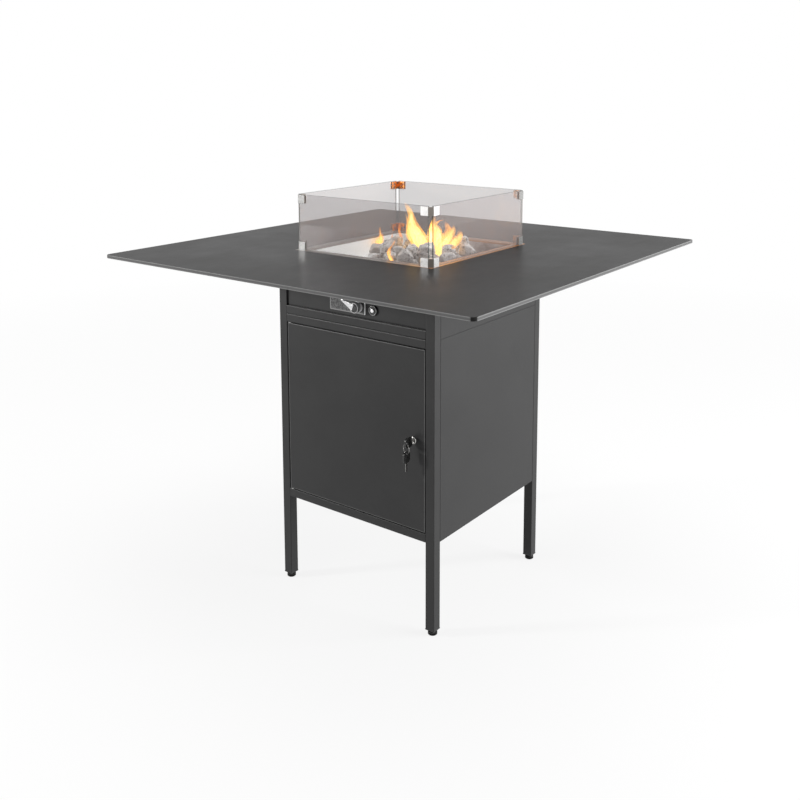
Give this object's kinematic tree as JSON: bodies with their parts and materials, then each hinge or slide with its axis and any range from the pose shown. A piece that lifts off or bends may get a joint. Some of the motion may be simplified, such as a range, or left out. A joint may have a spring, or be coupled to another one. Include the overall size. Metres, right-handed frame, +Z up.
{
  "type": "gas fire pit table",
  "caption": "Bar-height gas fire table: square slab on a steel cabinet with a lockable door, a knob with a lever, lava stones over a burner and a glass wind guard.",
  "frame": {"origin": "on the floor, under the middle of the table", "axes": "+Z up; the door and the knob face -Y; +X is to the right seen from the front"},
  "size_m": [1.3, 1.3, 1.2203],
  "materials": {
    "slab_laminate": "semi-gloss",
    "black_paint": "satin",
    "galvanised_sheet": "satin",
    "black_plastic": "matte",
    "foot_rubber": "matte",
    "stainless_sheet": "brushed",
    "zinc_steel": "satin",
    "nickel_steel": "polished",
    "brass_fittings": "satin",
    "copper_pipe": "satin",
    "chrome_trim": "polished",
    "spark_ceramic": "matte",
    "lava_rock": "rough",
    "smoked_glass": "clear"
  },
  "bodies": {
    "table": {"tabletop": "slab_laminate", "leg_front_left": "black_paint", "leg_front_right": "black_paint", "leg_rear_left": "black_paint", "leg_rear_right": "black_paint", "bottom_rails": "black_paint", "top_rails": "black_paint", "cabinet_floor": "black_paint", "side_panel_left": "black_paint", "side_panel_right": "black_paint", "back_panel": "black_paint", "box_posts": "black_paint", "box_bottom_rails": "black_paint", "box_top_rails": "black_paint", "box_panel_left": "black_paint", "box_panel_right": "black_paint", "box_panel_rear": "black_paint", "control_fascia": "black_paint", "door_stop": "black_paint", "control_plate": "black_paint", "heat_shield": "galvanised_sheet", "leg_caps": "black_plastic", "igniter_body": "black_plastic", "burner_tray": "stainless_sheet", "burner": "stainless_sheet", "hinge_pins": "zinc_steel", "tabletop_screws": "zinc_steel", "box_bolts": "zinc_steel", "valve_body": "brass_fittings", "gas_injector": "brass_fittings", "gas_inlet": "brass_fittings", "gas_pipe": "copper_pipe", "spark_electrode": "spark_ceramic", "lava_stones": "lava_rock"},
    "door": {"door_panel": "black_paint", "hinge_bushes": "black_plastic", "lock_barrel": "nickel_steel", "lock_nut": "zinc_steel"},
    "lock_core": {"lock_plug": "nickel_steel", "lock_cam": "zinc_steel"},
    "key": {"key_blade": "nickel_steel", "key_bow": "black_plastic"},
    "ring": {"key_ring": "nickel_steel"},
    "spare_key": {"spare_key_blade": "nickel_steel", "spare_key_bow": "black_plastic"},
    "rotor": {"valve_rotor": "zinc_steel"},
    "knob": {"valve_spindle": "zinc_steel", "control_knob": "chrome_trim"},
    "button": {"igniter_button": "chrome_trim"},
    "guard": {"glass_front": "smoked_glass", "glass_right": "smoked_glass", "glass_rear": "smoked_glass", "glass_left": "smoked_glass", "guard_upper_clips": "stainless_sheet", "guard_lower_clips": "stainless_sheet", "guard_grub_screws": "zinc_steel"},
    "foot_front_left": {"foot_front_left": "foot_rubber"},
    "foot_front_right": {"foot_front_right": "foot_rubber"},
    "foot_rear_left": {"foot_rear_left": "foot_rubber"},
    "foot_rear_right": {"foot_rear_right": "foot_rubber"}
  },
  "joints": [
    {"name": "door_hinge", "type": "hinge", "parent": "table", "child": "door", "pos_m": [-0.2515, -0.284, 0.566], "axis": [0, 0, -1], "range_deg": [0, 105]},
    {"name": "lock_turn", "type": "hinge", "parent": "door", "child": "lock_core", "pos_m": [0.218, -0.28, 0.565], "axis": [0, -1, 0], "range_deg": [0, 90]},
    {"name": "key_pull", "type": "slide", "parent": "lock_core", "child": "key", "axis": [0, -1, 0], "range_m": [0, 0.026]},
    {"name": "ring_swing", "type": "hinge", "parent": "key", "child": "ring", "pos_m": [0.218, -0.322, 0.565], "axis": [1, 0, 0], "range_deg": [-60, 5]},
    {"name": "spare_key_swing", "type": "hinge", "parent": "ring", "child": "spare_key", "pos_m": [0.218, -0.322, 0.5354], "axis": [1, 0, 0], "range_deg": [-30, 5]},
    {"name": "knob_turn", "type": "hinge", "parent": "table", "child": "rotor", "pos_m": [0.023, -0.26, 0.918], "axis": [0, -1, 0], "range_deg": [-70, 110]},
    {"name": "knob_push", "type": "slide", "parent": "rotor", "child": "knob", "axis": [0, 1, 0], "range_m": [0, 0.004], "stiffness_N_per_m": 1500, "springref_m": -0.001},
    {"name": "igniter_push", "type": "slide", "parent": "table", "child": "button", "axis": [0, 1, 0], "range_m": [0, 0.003], "stiffness_N_per_m": 1500, "springref_m": -0.001},
    {"name": "guard_lift", "type": "slide", "parent": "table", "child": "guard", "axis": [0, 0, 1], "range_m": [0, 0.2]},
    {"name": "foot_turn_front_left", "type": "hinge", "parent": "table", "child": "foot_front_left", "pos_m": [-0.275, -0.275, 0.02], "axis": [0, 0, 1], "continuous": true},
    {"name": "foot_turn_front_right", "type": "hinge", "parent": "table", "child": "foot_front_right", "pos_m": [0.275, -0.275, 0.02], "axis": [0, 0, 1], "continuous": true},
    {"name": "foot_turn_rear_left", "type": "hinge", "parent": "table", "child": "foot_rear_left", "pos_m": [-0.275, 0.275, 0.02], "axis": [0, 0, 1], "continuous": true},
    {"name": "foot_turn_rear_right", "type": "hinge", "parent": "table", "child": "foot_rear_right", "pos_m": [0.275, 0.275, 0.02], "axis": [0, 0, 1], "continuous": true}
  ]
}
